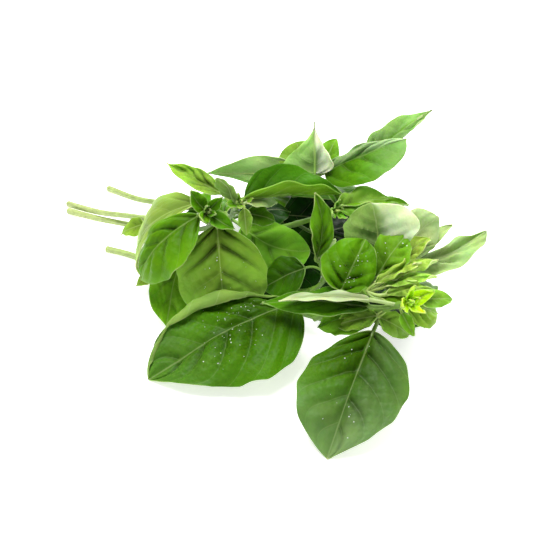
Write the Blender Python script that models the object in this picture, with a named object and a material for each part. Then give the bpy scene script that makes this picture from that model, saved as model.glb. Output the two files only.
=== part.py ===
"""A cut bunch of Italian basil, lying on a surface.

Six leafy stems lie across each other, cut ends to the left (-X) and growing tips to the right and up.
Each leafy stem is one solid: a squarish stem, its leaves on short stalks, and crowns of young leaves.
Lengths are in millimetres until the mesh is made, which is in metres. +Z is up and the surface is z = 0.
"""

import math
from dataclasses import dataclass, field

import bmesh
import bpy
import numpy as np

MM = 0.001

# What a leaf measures, in millimetres
BLADE_THICK = 0.75
LEAST_THICK = 0.6
RIB_DEEP = 0.9
BASE_HALF = 0.6
LEAST_TIP_HALF = 0.35
STALK_RADIUS = 1.15
STALK_ROOT_RADIUS = 0.85
STALK_END_RADIUS = 0.3
STALK_SUNK = 3.0
STALK_BEND = 0.45
STALK_STEP = 4.0

# Outline of a basil leaf: a round base, widest before the middle, a pointed end
BASE_POWER = 0.62
TIP_POWER = 0.95

# What a stem measures, in millimetres
STEM_RADIUS = 1.75
STEM_TIP_RADIUS = 1.2
STEM_SIDES = 8
STEM_FLAT = 0.86
STEM_STEP = 11.0

# How finely a leaf is cut, by its length: places along the blade, and places across it
LARGE_LENGTH = 44.0
LARGE_ROWS = (0.0, 0.07, 0.22, 0.42, 0.64, 0.85)
LARGE_COLUMNS = (-1.0, -0.82, -0.45, 0.0, 0.45, 0.82, 1.0)
MIDDLE_LENGTH = 27.0
MIDDLE_ROWS = (0.0, 0.1, 0.32, 0.57, 0.82)
MIDDLE_COLUMNS = (-1.0, -0.55, 0.0, 0.55, 1.0)
SMALL_ROWS = (0.0, 0.16, 0.42, 0.74)
SMALL_COLUMNS = (-1.0, 0.0, 1.0)

# Where a margin that rolls up starts to roll, as a share of the half width; the half width, in millimetres,
# from which it rolls up fully; and how finely such a blade is cut
ROLL_START = 0.7
ROLL_HALF = 20.0
ROLLED_COLUMNS = (-1.0, -0.82, -0.45, 0.0, 0.4, ROLL_START, 0.85, 1.0)

# Crown of young leaves at a stem's end, pair by pair: length, opening angle from the stem, turn round it
CROWN_PAIRS = ((26.0, 58.0, 0.0), (19.0, 40.0, 90.0), (12.0, 22.0, 0.0))
LEAST_CROWN_LEAF = 5.0
CROWN_GAP = 0.4

# Moves the layout so that the middle of its footprint is the origin
SHIFT = (7.465, -10.503, 0.0)

LEAF_GREEN = (0.155, 0.345, 0.035, 1.0)


@dataclass
class Leaf:
    """One leaf, from its stalk's root on a stem to its tip, in millimetres.

    Pairs are for the leaf's left and right half, seen from its stalk with its upper face up.
    """

    name: str
    at: float
    base: tuple
    tip: tuple
    face: tuple = (0.0, 0.0, 1.0)
    width: tuple = (0.6, 0.6)
    arch: float = 0.1
    sweep: float = 0.0
    fold: tuple = (12, 12)
    curl: tuple = (-25, -25)
    roll: tuple = (0, 0)
    twist: float = 0.0
    wave: float = 0.8
    waves: float = 2.5
    phase: float = 0.0
    shape: tuple = (BASE_POWER, TIP_POWER, BASE_POWER, TIP_POWER)
    on: int = 0
    stalked: bool = True


@dataclass
class Sprig:
    """A leafy stem: the points that its stem and side stems pass through, its leaves and its crowns."""

    name: str
    stems: list
    leaves: list
    crowns: list = field(default_factory=list)


LEFT = Sprig(
    "sprig_left",
    [[(-121, 104, 1.5), (-100, 87, 7.5), (-78, 70, 16.5), (-56, 46, 30), (-41, 23, 50), (-34, 10, 62)]],
    [
        Leaf(
            "left_far", 0.88, (-40, 25, 57), (-70, 27, 5), (-0.8, 0.0, 0.6), (0.4, 0.72), 0.24,
            shape=(0.62, 0.95, 0.8, 0.9),
        ),
        Leaf(
            "left_near", 0.95, (-38, 10, 60), (-69, 6, 23), (-0.5, -0.5, 0.7), (0.84, 0.42), 0.18,
            shape=(0.65, 0.8, 0.65, 0.8),
        ),
        Leaf(
            "middle_near", 0.93, (-29, 8, 55), (-25, -8, 4), (0, -0.85, 0.4), (0.9, 0.85), 0.13,
            shape=(0.65, 0.75, 0.65, 0.75),
        ),
        Leaf("under_left", 0.62, (-48, 22, 28), (-56, -8, 2), (-0.2, -0.7, 0.7), (0.95, 0.72), 0.1),
        Leaf("left_ground", 0.5, (-60, 28, 14), (-74, 21, 6), (-0.2, -0.5, 0.9), (0.6, 0.4), 0.1),
        Leaf("left_behind", 0.84, (-38, 31, 49), (-50, 57, 33), (-0.2, 0.2, 1), (0.65, 0.65), 0.12),
        Leaf(
            "left_low", 0.45, (-72, 60, 18.5), (-86, 66, 7), (-0.2, -0.5, 0.8), (0.6, 0.6), 0.1,
            shape=(0.6, 1.5, 0.6, 1.5),
        ),
    ],
    [(0, 0.65, -40)],
)

MIDDLE = Sprig(
    "sprig_middle",
    [[(-120, 97, 1.5), (-98, 84, 4.5), (-72, 70, 9.5), (-44, 50, 22), (-25, 27, 45), (-18, 5, 71)]],
    [
        Leaf(
            "long_top", 0.98, (-15, 6, 73), (34, 25, 62), (0, 0, 1), (0.6, 0.46), 0.03, fold=(45, 60),
            curl=(-5, 0),
        ),
        Leaf(
            "top_left", 0.9, (-27, 21, 66), (-56, 50, 64.5), (0, -0.5, 0.9), (0.34, 0.3), 0.0,
            fold=(25, 40), curl=(0, 0),
        ),
        Leaf("pale_up", 0.97, (-20, 4, 73), (-28, 3, 87), (0.3, 0.8, 0.5), (0.5, 1.0), 0.1),
        Leaf("small_right", 0.99, (-14, 4, 72), (1, 15, 64), (0, -0.3, 1), (0.5, 0.5)),
        Leaf("small_down", 0.97, (-15, 2, 70), (-14, -1, 56), (0, -1, 0.2), (0.5, 0.5)),
        Leaf(
            "inner_right", 0.7, (-17, 20, 46), (18, 18, 32), (-0.1, -0.7, 0.7), (0.66, 0.85), 0.08,
            0.12, shape=(0.62, 0.62, 0.62, 0.8),
        ),
        Leaf("middle_behind", 0.8, (-26, 32, 46), (-46, 57, 24), (-0.2, 0.3, 1), (0.62, 0.62), 0.12),
        Leaf("middle_low", 0.55, (-36, 52, 24), (-28, 80, 6), (0, 0.3, 1), (0.65, 0.65), 0.12),
        Leaf("shade_middle", 0.72, (-18, 34, 43), (8, 52, 32), (0, -0.3, 1), (0.7, 0.7), 0.1),
        Leaf("small_low", 0.9, (-14, 6, 64), (0, 9, 57), (0, -0.5, 0.8), (0.7, 0.7), 0.1),
    ],
    [(0, 0.3, 20)],
)

BACK = Sprig(
    "sprig_back",
    [
        [(-99, 120, 1.5), (-75, 98, 8), (-42, 81, 18), (-8, 58, 38), (16, 42, 60)],
        [(6, 48.7, 50.2), (22, 50, 58), (36, 45, 66)],
    ],
    [
        Leaf("back_left", 0.97, (13, 41, 64), (-35, 48, 60), (0, 1, -0.1), (0.42, 0.24), 0.0, twist=40),
        Leaf(
            "back_up", 0.98, (20.5, 36, 68), (20, 47, 92), (0.1, 0.9, 0.1), (0.75, 1.3), 0.03,
            curl=(-35, -15), shape=(0.4, 2.2, 0.4, 2.2),
        ),
        Leaf(
            "back_lit", 0.98, (16, 44, 64.5), (11, 54, 75.6), (0.2, -0.9, 0.6), (1.6, 1.6), 0.05,
            shape=(0.6, 0.6, 0.6, 0.6),
        ),
        Leaf("back_right", 0.98, (25, 46, 65), (32, 57, 75.2), (-0.3, -0.8, 0.6), (0.9, 0.7)),
        Leaf(
            "far_right", 0.98, (26, 40, 66), (66, 37, 88), (-0.3, -0.55, 0.8), (0.26, 0.78), 0.04,
            fold=(20, 24), shape=(0.62, 0.95, 0.42, 0.4),
        ),
        Leaf(
            "far_tip", 0.9, (48, 43, 75), (80.5, 56, 93.5), (-0.2, -0.4, 0.9), (0.5, 0.2), 0.0,
            shape=(0.55, 1.2, 0.62, 1.2), on=1,
        ),
        Leaf("back_ground", 0.45, (-34, 76, 18), (-8, 92, 0.2), (0, 0, 1), (0.62, 0.62), 0.08),
        Leaf("back_low", 0.62, (-12, 70, 28), (25, 96, 8), (0, 0, 1), (0.85, 0.85), 0.08),
        Leaf("back_low_right", 0.8, (8, 58, 40), (46, 90, 12), (0, 0.2, 1), (0.85, 0.85), 0.1),
        Leaf("back_low_near", 0.75, (4, 53, 30), (48, 68, 16), (0, -0.8, 0.5), (0.8, 0.8), 0.06),
    ],
)

RIGHT = Sprig(
    "sprig_right",
    [[(-66, 55, 4), (-34, 50, 12), (4, 30, 38), (30, 16, 58)]],
    [
        Leaf("right_upper", 0.97, (32, 17, 59.5), (57, 22, 61.5), (0, -0.5, 0.9), (0.7, 0.6), 0.1),
        Leaf(
            "right_lower", 0.97, (34, 17, 61), (68, 24, 56), (0, 0, 1), (0.4, 0.4), 0.05,
            fold=(40, 38),
        ),
        Leaf("right_behind", 0.95, (33, 20, 58), (60, 48, 42), (0, 0.2, 1), (0.9, 0.7), 0.12),
        Leaf("shade_right", 0.75, (26, 28, 36), (54, 58, 12), (0, -0.2, 1), (0.9, 0.9), 0.1),
        Leaf("shade_left", 0.45, (-14, 40, 20), (14, 59, 13), (0, -0.4, 0.9), (0.7, 0.7), 0.1),
        Leaf("shade_drop", 0.68, (10, 25, 28), (14, 7, 5), (0, -0.7, 0.7), (0.9, 0.9), 0.1),
        Leaf("shade_mid", 0.62, (10, 30, 26), (33, 45, 4), (0, -0.2, 1), (0.6, 0.6), 0.1),
        Leaf("shade_low", 0.5, (11, 24, 20), (43, 53, 12), (0, -0.2, 1), (0.7, 0.7), 0.1),
    ],
    [(0, 0.4, 0)],
)

INNER = Sprig(
    "sprig_inner",
    [[(-63, 46, 10), (-24, 22, 10), (12, -1, 20), (24, -10, 34), (22, -13, 50)]],
    [
        Leaf(
            "spear", 0.98, (20, -14, 51), (19, -5, 84), (0.3, -0.9, 0.3), (0.4, 0.36), 0.05, 0.08,
            fold=(35, 35), shape=(0.95, 0.95, 0.9, 0.95),
        ),
        Leaf("spear_side", 0.98, (22, -12, 50), (30, -5, 56), (0, -0.5, 0.8), (0.5, 0.5)),
        Leaf("inner_dark", 0.85, (15, -2, 36), (-6, 1, 20), (0, -0.5, 0.8), (0.8, 0.8), 0.1),
        Leaf(
            "low_left", 0.76, (10, -13.5, 23.5), (-62, -46, 0.2), (-0.1, -0.35, 0.95), (0.84, 0.66),
            0.08, shape=(0.53, 0.95, 1.0, 0.7), roll=(0, 260),
        ),
        Leaf("shade_under", 0.4, (-12, 19, 9), (10, 22, 3), (0, -0.5, 0.8), (0.75, 0.75), 0.1),
        Leaf("shade_inner", 0.6, (24, -2, 20), (53, 19, 4), (0, -0.2, 1), (0.65, 0.65), 0.1),
    ],
)

FRONT = Sprig(
    "sprig_front",
    [
        [(-94, 60, 1.5), (-74, 51, 1.6), (-13, 14, 5), (30, -22, 18), (50, -40, 40), (62, -48, 51)],
        [(20, -14, 13), (36, -26, 32), (44, -34, 47)],
    ],
    [
        Leaf(
            "outer_up", 0.93, (32, -30, 44), (44, -13, 62), (-0.15, -0.8, 0.6), (1.15, 0.9), 0.1,
            shape=(0.5, 0.7, 0.5, 0.7), on=1,
        ),
        Leaf(
            "outer_up_right", 0.96, (49, -25, 48), (64.5, -9, 62), (-0.4, -0.7, 0.6), (0.75, 0.75),
            0.1, shape=(0.6, 0.7, 0.6, 0.7), on=1,
        ),
        Leaf("outer_left", 0.93, (45, -42, 48), (2, -31, 38), (0, 0.3, 0.95), (0.28, 0.28), 0.05),
        Leaf(
            "pale_left", 0.9, (51, -12, 53), (47, -4, 77), (0.1, 0.8, 0.3), (1.7, 1.35), 0.1,
            fold=(5, 12), curl=(-12, -25), shape=(0.6, 0.55, 0.62, 0.8), on=1,
        ),
        Leaf(
            "pale_right", 0.92, (61, -7, 50), (81, 6, 62), (-0.35, 0.85, -0.35), (0.95, 1.05), 0.05,
            fold=(5, 5), curl=(-14, -10), shape=(0.6, 0.7, 0.6, 0.7), on=1,
        ),
        Leaf(
            "far_right_tip", 0.93, (57, -17, 48), (107, 11, 50), (0, -0.3, 0.9), (0.16, 0.34), -0.02,
            0.06, shape=(0.62, 0.9, 0.7, 0.65), on=1,
        ),
        Leaf("grey_tip", 0.93, (66, -4, 44), (90, 15, 50), (0, -0.3, 0.9), (0.3, 0.3), 0.1, on=1),
        Leaf(
            "fan_a", 0.95, (51, -29, 48), (80, -12, 48), (0, -0.3, 0.9), (0.24, 0.24), 0.1,
            fold=(30, 30), on=1,
        ),
        Leaf(
            "fan_b", 0.97, (52, -33, 48.5), (79, -19, 43), (0, -0.3, 0.9), (0.24, 0.24), 0.1,
            fold=(30, 30), on=1,
        ),
        Leaf(
            "fan_c", 0.99, (53, -37, 47), (78, -25, 40), (0, -0.3, 0.9), (0.26, 0.26), 0.1,
            fold=(30, 30), on=1,
        ),
        Leaf(
            "fan_d", 0.99, (48, -33, 50.5), (71, -20, 53), (0, -0.3, 0.9), (0.24, 0.24), 0.1,
            fold=(30, 30), on=1,
        ),
        Leaf("front_left", 0.9, (45, -41, 43), (-6, -23, 30), (0, -0.3, 1), (0.3, 0.3), 0.05),
        Leaf("front_low_left", 0.85, (47, -40, 37), (21, -32, 22.5), (0, -0.5, 0.8), (0.56, 0.56), 0.1),
        Leaf("front_low_small", 0.85, (49, -42, 38), (29, -38, 28), (0, -0.5, 0.8), (0.5, 0.5), 0.1),
        Leaf("front_low_right", 0.85, (50, -42, 37), (65, -39, 23), (0, -0.5, 0.8), (0.6, 0.6), 0.1),
        Leaf(
            "front_hanging", 0.83, (47, -45, 30), (24, -100, 0.2), (0, -0.4, 0.9), (0.8, 0.76), 0.1,
            shape=(0.74, 1.0, 0.98, 0.84),
        ),
        Leaf("front_right", 0.97, (68, -44, 49), (85, -37, 44), (0, -0.5, 0.8), (0.5, 0.5), 0.1),
        Leaf("front_right_low", 0.93, (62, -43, 44), (79, -33, 32), (0, -0.5, 0.8), (0.7, 0.9), 0.1),
        Leaf("front_bit", 0.95, (60, -47, 44), (66, -52, 34), (0, -0.8, 0.4), (0.5, 0.5), 0.1),
        Leaf("fan_e", 0.95, (52, -24, 48), (77, -1, 54), (0, -0.4, 0.9), (0.36, 0.3), 0.1, on=1),
        Leaf("fan_low", 0.99, (50, -38, 45.5), (70, -29, 39), (0, -0.4, 0.9), (0.36, 0.36), 0.1, on=1),
        Leaf("right_ground", 0.6, (50, -8, 24), (82, 24, 0.2), (0, -0.2, 1), (0.6, 0.6), 0.1),
        Leaf("right_under", 0.9, (56, -24, 38), (81, 6, 18), (0, -0.1, 1), (0.62, 0.62), 0.1, on=1),
        Leaf("right_low", 0.8, (56, -38, 32), (72, -18, 12), (0, -0.1, 1), (0.7, 0.7), 0.1),
        Leaf("shade_front", 0.75, (42, -22, 23), (74, -3, 16), (0, -0.2, 1), (0.9, 0.9), 0.08),
    ],
    [(0, 0.55, 0)],
)

SPRIGS = (LEFT, MIDDLE, BACK, RIGHT, INNER, FRONT)


def unit(vector):
    """The vector or row of vectors at length 1."""
    vector = np.asarray(vector, float)
    return vector / np.linalg.norm(vector, axis=-1, keepdims=True)


def turned(vector, axis, degrees):
    """The vector turned round a unit axis."""
    angle = math.radians(degrees)
    return (
        vector * math.cos(angle)
        + np.cross(axis, vector) * math.sin(angle)
        + axis * np.dot(axis, vector) * (1 - math.cos(angle))
    )


def spline(points, shares):
    """Points at these shares of a smooth curve through the given points."""
    points = np.asarray(points, float)
    ends = np.vstack([2 * points[0] - points[1], points, 2 * points[-1] - points[-2]])
    spans = len(points) - 1
    found = []
    for share in shares:
        place = min(max(share, 0.0), 1.0) * spans
        i = min(int(place), spans - 1)
        t = place - i
        a, b, c, d = ends[i : i + 4]
        square = 2 * a - 5 * b + 4 * c - d
        cube = 3 * b - a - 3 * c + d
        found.append(0.5 * (2 * b + (c - a) * t + square * t**2 + cube * t**3))
    return np.array(found)


def outline(u, shape, hand):
    """Half width of one half of a basil leaf at share u of its length; at its widest it is 1."""
    u = np.asarray(u, float)
    base_power, tip_power = shape[2 * hand : 2 * hand + 2]
    widest = base_power / (base_power + tip_power)
    return (u / widest) ** base_power * ((1 - u) / (1 - widest)) ** tip_power


def midrib(leaf, u):
    """Places, directions, sideways and upward vectors along a blade's midrib, for each share in u."""
    base, tip = np.array(leaf.base, float), np.array(leaf.tip, float)
    chord = tip - base
    length = np.linalg.norm(chord)
    side = unit(np.cross(chord, leaf.face))
    up = unit(np.cross(side, chord))
    control = base + chord * 0.5 + (up * leaf.arch + side * leaf.sweep) * 2 * length
    u = np.asarray(u, float)[:, None]
    place = base * (1 - u) ** 2 + control * 2 * u * (1 - u) + tip * u**2
    ahead = unit((control - base) * (1 - u) + (tip - control) * u)
    across = unit(np.cross(ahead, up))
    lean = np.radians(leaf.twist * (u - 0.5))
    above = np.cross(across, ahead)
    leant_across = across * np.cos(lean) + above * np.sin(lean)
    leant_above = above * np.cos(lean) - across * np.sin(lean)
    return place, ahead, leant_across, leant_above


def bend(slope, turn, length):
    """How far out and up an arc of this length goes that starts at this slope and turns, in radians."""
    chord = length * np.sinc(turn / (2 * math.pi))
    return chord * np.cos(slope + turn / 2), chord * np.sin(slope + turn / 2)


def blade(leaf, rows, columns):
    """The middle surface of a blade: one row of points for each share in rows."""
    u = np.asarray(rows, float)
    place, _, across, above = midrib(leaf, u)
    length = np.linalg.norm(np.subtract(leaf.tip, leaf.base))
    surface = np.empty((len(u), len(columns), 3))
    for j, v in enumerate(columns):
        hand = 0 if v < 0 else 1
        widest = leaf.width[hand] * length / 2
        full = outline(u, leaf.shape, hand)
        half = np.maximum(full * widest, np.where(u < 0.5, BASE_HALF, LEAST_TIP_HALF))
        flat = min(abs(v), ROLL_START if leaf.roll[hand] else 1.0)
        slope = math.radians(leaf.fold[hand])
        turn = math.radians(leaf.curl[hand]) * flat * half / widest
        out, rise = bend(slope, turn, flat * half)
        rolled = abs(v) - flat
        roll = math.radians(leaf.roll[hand]) * np.minimum(half / ROLL_HALF, 1) * rolled / (1 - ROLL_START)
        more_out, more_rise = bend(slope + turn, roll, rolled * half)
        ripple = np.sin(2 * math.pi * (leaf.waves * u + leaf.phase) + 2.2 * hand)
        up = rise + more_rise + leaf.wave * ripple * abs(v) ** 2.5 * full
        aside = np.sign(v) * (out + more_out)
        surface[:, j] = place + across * aside[:, None] + above * up[:, None]
    return surface


def leaf_grade(leaf):
    """How finely a leaf of this length is cut, and how thick its stalk is beside a large leaf's."""
    length = np.linalg.norm(np.subtract(leaf.tip, leaf.base))
    if length > LARGE_LENGTH:
        return LARGE_ROWS, ROLLED_COLUMNS if leaf.roll[1] else LARGE_COLUMNS, 1.0
    if length > MIDDLE_LENGTH:
        return MIDDLE_ROWS, MIDDLE_COLUMNS, 0.9
    return SMALL_ROWS, SMALL_COLUMNS, 0.65


def tube(centres, radii, across, above):
    """A closed four-sided tube; across and above hold at its last ring and turn with it to its first."""
    ahead = unit(np.gradient(centres, axis=0))
    points = []
    for centre, radius, heading in reversed(list(zip(centres, radii, ahead))):
        across = unit(across - heading * np.dot(across, heading))
        above = np.cross(across, heading)
        corners = [above, across, -above, -across]
        points = [centre + corner * radius for corner in corners] + points
    sides = len(corners)
    faces = [tuple(range(sides))[::-1]]
    for i in range(len(centres) - 1):
        for k in range(sides):
            a, c = i * sides + k, i * sides + (k + 1) % sides
            faces.append((a, c, c + sides, a + sides))
    faces.append(tuple(range(len(points) - sides, len(points))))
    return np.array(points), faces


def stalk_solid(leaf, root):
    """Points and faces of a leaf's stalk, from inside the stem to inside the blade's midrib."""
    _, _, size = leaf_grade(leaf)
    place, ahead, across, above = (x[0] for x in midrib(leaf, [0.0]))
    reach = np.linalg.norm(place - root)
    bend_point = place - ahead * reach * STALK_BEND
    shares = np.linspace(0, 1, 2 + int(np.clip(reach / STALK_STEP, 0, 3)))[:, None]
    centres = root * (1 - shares) ** 2 + bend_point * 2 * shares * (1 - shares) + place * shares**2
    radii = list(STALK_ROOT_RADIUS + (STALK_RADIUS * size - STALK_ROOT_RADIUS) * shares[:, 0])
    sunk = place + ahead * STALK_SUNK * size - above * STALK_END_RADIUS
    return tube(np.vstack([centres, sunk]), [*radii, STALK_END_RADIUS], across, above)


def blade_solid(leaf):
    """Points and triangles of a leaf's blade, of real thickness, its midrib standing out below."""
    rows, columns, size = leaf_grade(leaf)
    surface = blade(leaf, rows, columns)
    tip = np.array(leaf.tip, float)
    along = np.gradient(np.concatenate([surface, np.tile(tip, (1, len(columns), 1))]), axis=0)[:-1]
    sideways = np.gradient(surface, axis=1)
    normal = unit(np.cross(sideways, along))
    normal[0] = midrib(leaf, [0.0])[3]

    middle = columns.index(0.0)
    below = np.full(surface.shape[:2], BLADE_THICK / 2)
    below[:, middle] += np.linspace(RIB_DEEP * size, 0, len(rows) + 1)[:-1]
    top = surface + normal * BLADE_THICK / 2
    bottom = surface - normal * below[..., None]
    tip_normal = unit(normal[-1].sum(axis=0)) * BLADE_THICK / 2
    tips = [tip + tip_normal, tip - tip_normal]
    points = np.concatenate([top.reshape(-1, 3), bottom.reshape(-1, 3), tips])

    # What would sink into the surface lies flat on it
    n_rows, n_cols = surface.shape[:2]
    low = n_rows * n_cols
    points[:, 2] = np.maximum(points[:, 2], 0.0)
    points[:low, 2] = np.maximum(points[:low, 2], points[low : 2 * low, 2] + LEAST_THICK)
    points[2 * low, 2] = max(points[2 * low, 2], points[2 * low + 1, 2] + LEAST_THICK)

    faces = []
    last, end, under = n_rows - 1, 2 * low, 2 * low + 1
    for j in range(n_cols - 1):
        for i in range(last):
            a, d = i * n_cols + j, (i + 1) * n_cols + j
            c, e = a + 1, d + 1
            # The diagonals lean towards the tip on both halves, alike on both faces
            cut = [(a, c, e), (a, e, d)] if j < middle else [(a, c, d), (c, e, d)]
            faces += cut + [(low + r, low + q, low + p) for p, q, r in cut]
        near, far = last * n_cols + j, last * n_cols + j + 1
        faces += [(near, far, end), (low + near, under, low + far)]
        faces += [(j, low + j, low + j + 1), (j, low + j + 1, j + 1)]
    for i in range(last):
        left, ahead_left = i * n_cols, (i + 1) * n_cols
        right, ahead_right = left + n_cols - 1, ahead_left + n_cols - 1
        faces += [(left, ahead_left, low + ahead_left), (left, low + ahead_left, low + left)]
        faces += [(ahead_right, right, low + right), (ahead_right, low + right, low + ahead_right)]
    left, right = last * n_cols, last * n_cols + n_cols - 1
    faces += [(left, end, under), (left, under, low + left)]
    faces += [(end, right, low + right), (end, low + right, under)]
    return points, faces


def stem_solid(path):
    """Points and faces of a squarish stem that narrows from its cut end to its growing tip."""
    length = np.linalg.norm(np.diff(np.asarray(path, float), axis=0), axis=1).sum()
    rings = max(6, round(length / STEM_STEP))
    shares = np.linspace(0, 1, rings + 1)
    centres = spline(path, shares)
    ahead = unit(np.gradient(centres, axis=0))
    side = unit(np.cross(ahead, (0.0, 0.0, 1.0)))
    up = np.cross(side, ahead)
    points = []
    for share, centre, s, n in zip(shares, centres, side, up):
        radius = STEM_RADIUS + (STEM_TIP_RADIUS - STEM_RADIUS) * share
        for k in range(STEM_SIDES):
            angle = 2 * math.pi * (k + 0.5) / STEM_SIDES
            ring = radius * (1.0 if k % 2 else STEM_FLAT)
            points.append(centre + (s * math.cos(angle) + n * math.sin(angle)) * ring)
    points = np.array(points)
    points[:, 2] = np.maximum(points[:, 2], 0.0)
    faces = []
    for i in range(rings):
        for k in range(STEM_SIDES):
            a, c = i * STEM_SIDES + k, i * STEM_SIDES + (k + 1) % STEM_SIDES
            faces.append((a, a + STEM_SIDES, c + STEM_SIDES, c))
    faces.append(tuple(range(STEM_SIDES)))
    faces.append(tuple(rings * STEM_SIDES + k for k in reversed(range(STEM_SIDES))))
    return points, faces


def crown_leaves(sprig, stem, size, first_turn):
    """Pairs of young leaves round the end of a stem, each pair at right angles to the last."""
    end, before = spline(sprig.stems[stem], [1.0, 0.97])
    ahead = unit(end - before)
    side = unit(np.cross(ahead, (0.2, 0.1, 1.0)))
    leaves = []
    for pair, (length, opening, turn) in enumerate(CROWN_PAIRS):
        if length * size < LEAST_CROWN_LEAF:
            break
        for hand in (0, 180):
            out = turned(side, ahead, turn + hand + first_turn)
            angle = math.radians(opening)
            heading = ahead * math.cos(angle) + out * math.sin(angle)
            base = end + heading * CROWN_GAP
            leaves.append(
                Leaf(
                    f"{sprig.name}_crown_{stem}_{pair}_{hand}",
                    1.0,
                    tuple(base),
                    tuple(base + heading * length * size),
                    tuple(ahead * math.sin(angle) - out * math.cos(angle)),
                    (0.55, 0.55),
                    -0.12,
                    fold=(25, 25),
                    curl=(-15, -15),
                    wave=0.3,
                    on=stem,
                    stalked=False,
                )
            )
    return leaves


def all_leaves(sprig):
    """Every leaf of a leafy stem, those of its crowns too."""
    leaves = list(sprig.leaves)
    for stem, size, first_turn in sprig.crowns:
        leaves += crown_leaves(sprig, stem, size, first_turn)
    return leaves


def mesh_object(name, points, faces, material, collection):
    """A named object with these points, in millimetres of the layout, and its normals facing out."""
    mesh = bpy.data.meshes.new(name)
    mesh.from_pydata([tuple(p) for p in (np.asarray(points) + SHIFT) * MM], [], faces)
    mesh.validate()
    mesh.materials.append(material)
    made = bpy.data.objects.new(name, mesh)
    collection.objects.link(made)
    return made


def keep_outer_skin(mesh):
    """Fills sealed hollows and drops loose scraps: only the largest skin stays."""
    work = bmesh.new()
    work.from_mesh(mesh)
    left = set(work.verts)
    skins = []
    while left:
        reached = {left.pop()}
        skin = set(reached)
        while reached:
            reached = {edge.other_vert(v) for v in reached for edge in v.link_edges} - skin
            skin |= reached
        left -= skin
        skins.append(skin)
    outer = max(skins, key=len)
    bmesh.ops.delete(work, geom=[v for v in work.verts if v not in outer], context="VERTS")
    work.to_mesh(mesh)
    work.free()


def build_sprig(sprig, material):
    """One leafy stem: its stem with every leaf fused into it."""
    scene = bpy.context.scene.collection
    stem = mesh_object(sprig.name, *stem_solid(sprig.stems[0]), material, scene)
    joined = bpy.data.collections.new(f"{sprig.name}_leaves")
    scene.children.link(joined)
    for i, path in enumerate(sprig.stems[1:]):
        mesh_object(f"{sprig.name}_side_{i}", *stem_solid(path), material, joined)
    for leaf in all_leaves(sprig):
        root = spline(sprig.stems[leaf.on], [leaf.at])[0]
        mesh_object(leaf.name, *blade_solid(leaf), material, joined)
        if leaf.stalked:
            mesh_object(f"{leaf.name}_stalk", *stalk_solid(leaf, root), material, joined)
    union = stem.modifiers.new("fuse leaves", "BOOLEAN")
    union.operation = "UNION"
    union.operand_type = "COLLECTION"
    union.collection = joined
    union.solver = "MANIFOLD"
    bpy.context.view_layer.update()
    fused = bpy.data.meshes.new_from_object(stem.evaluated_get(bpy.context.evaluated_depsgraph_get()))
    stem.modifiers.remove(union)
    stem.data = fused
    keep_outer_skin(stem.data)
    for used in list(joined.objects):
        bpy.data.objects.remove(used)
    bpy.data.collections.remove(joined)
    stem.data.shade_smooth()
    stem.data.set_sharp_from_angle(angle=math.radians(40))


def leaf_material():
    """Fresh leaf green, with the soft gloss of a waxy leaf."""
    material = bpy.data.materials.new("basil_leaf")
    material.use_nodes = True
    shader = material.node_tree.nodes["Principled BSDF"]
    shader.inputs["Base Color"].default_value = LEAF_GREEN
    shader.inputs["Roughness"].default_value = 0.45
    shader.inputs["Metallic"].default_value = 0.0
    return material


def main():
    """Builds the bunch."""
    for old in list(bpy.data.objects):
        bpy.data.objects.remove(old)
    material = leaf_material()
    for sprig in SPRIGS:
        build_sprig(sprig, material)


main()
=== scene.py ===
"""A cut bunch of Italian basil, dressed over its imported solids.

The solids give every leafy stem its place and form. Each one is made again here in finer pieces: blades
quilted between their veins, pale undersides, squarish stems with a groove on each side, and drops of water.
Layout lengths are in millimetres, +Z is up and the surface is z = 0. Meshes are in metres.
"""

import logging
import math
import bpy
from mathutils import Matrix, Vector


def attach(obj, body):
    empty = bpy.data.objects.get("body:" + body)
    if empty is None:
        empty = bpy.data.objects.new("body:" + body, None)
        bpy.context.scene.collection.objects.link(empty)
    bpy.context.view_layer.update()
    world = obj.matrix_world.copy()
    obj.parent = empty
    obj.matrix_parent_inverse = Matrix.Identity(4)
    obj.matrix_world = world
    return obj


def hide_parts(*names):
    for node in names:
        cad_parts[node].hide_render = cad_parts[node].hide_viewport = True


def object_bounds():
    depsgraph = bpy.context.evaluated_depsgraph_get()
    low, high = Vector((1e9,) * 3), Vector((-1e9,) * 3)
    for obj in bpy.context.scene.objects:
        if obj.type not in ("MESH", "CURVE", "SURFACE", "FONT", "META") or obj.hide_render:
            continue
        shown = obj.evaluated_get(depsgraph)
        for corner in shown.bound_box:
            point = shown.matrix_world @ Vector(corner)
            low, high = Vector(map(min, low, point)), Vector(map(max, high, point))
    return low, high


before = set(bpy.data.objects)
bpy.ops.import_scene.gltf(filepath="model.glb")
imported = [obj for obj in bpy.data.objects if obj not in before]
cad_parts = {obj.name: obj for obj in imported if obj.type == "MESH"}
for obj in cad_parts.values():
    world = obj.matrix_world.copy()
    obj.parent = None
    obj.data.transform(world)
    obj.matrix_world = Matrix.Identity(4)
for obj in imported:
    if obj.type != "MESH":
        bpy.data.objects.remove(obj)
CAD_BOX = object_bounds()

import zlib
from dataclasses import dataclass, field
from enum import Enum
from functools import partial
from typing import Callable

import bpy
import numpy as np
from mathutils import Vector

Point = tuple[float, float, float]
Pair = tuple[float, float]
Array = np.ndarray
Run = tuple[Array, Array]
Thing = bpy.types.Object
Mesh = bpy.types.Mesh
Material = bpy.types.Material
Tree = bpy.types.NodeTree
Socket = bpy.types.NodeSocket
NodeMaker = Callable[..., Socket]

log = logging.getLogger("basil")

MM = 0.001
FULL_TURN = 2 * math.pi

# How far the start of a wave is drawn, and the length that its pattern repeats at, in radians
WAVE_TURN = 6.28

# How many fields each half of a blade has numbers drawn for
FIELDS = 24

# Moves the layout so that the middle of its footprint is the origin, in millimetres
SHIFT = (7.465, -10.503, 0.0)

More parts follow.
